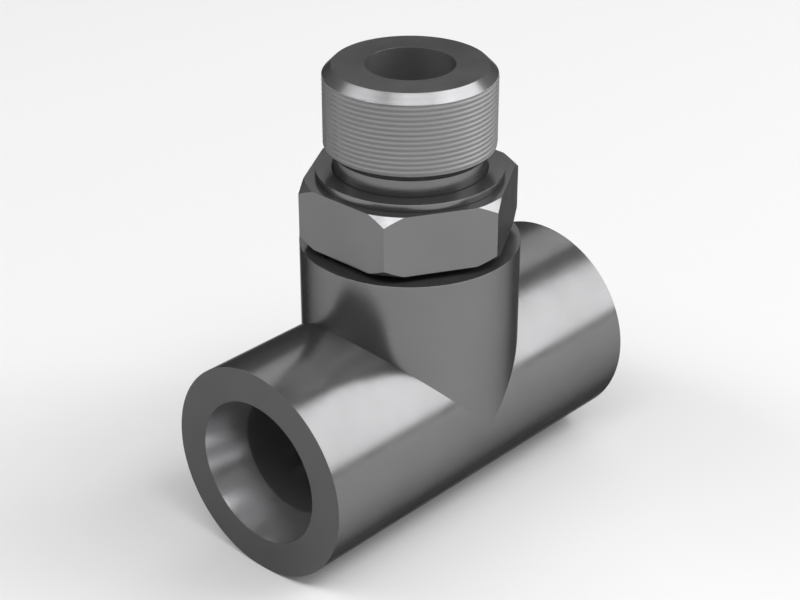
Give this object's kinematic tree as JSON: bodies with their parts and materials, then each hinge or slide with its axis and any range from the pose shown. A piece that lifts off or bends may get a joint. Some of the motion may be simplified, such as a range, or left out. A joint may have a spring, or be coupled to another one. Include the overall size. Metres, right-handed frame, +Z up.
{
  "type": "tee adapter",
  "caption": "Steel pipe tee with coned sockets in the ends of its run and a threaded branch stud that carries a hexagonal lock nut and a backup washer.",
  "frame": {"origin": "where the run's axis and the branch's axis cross", "axes": "+X along the run, +Z up the branch to the free end of the stud"},
  "size_m": [0.133, 0.0692, 0.1438],
  "materials": {
    "body_steel": "satin, dark grey",
    "nut_steel": "satin, dark grey",
    "washer_steel": "satin, dark grey"
  },
  "bodies": {
    "tee": {"tee_body": "body_steel"},
    "washer": {"backup_washer": "washer_steel"},
    "nut": {"lock_nut": "nut_steel"}
  },
  "joints": [
    {"name": "washer_slide", "type": "slide", "parent": "tee", "child": "washer", "axis": [0, 0, 1], "range_m": [-0.00241, 0.00481]},
    {"name": "nut_spin", "type": "hinge", "parent": "washer", "child": "nut", "pos_m": [0, 0, 0.066], "axis": [0, 0, 1], "range_deg": [-576, 1152]}
  ],
  "couplings": [
    {"joint": "washer_slide", "follows": "nut_spin", "m_per_rad": 0.00023873}
  ]
}
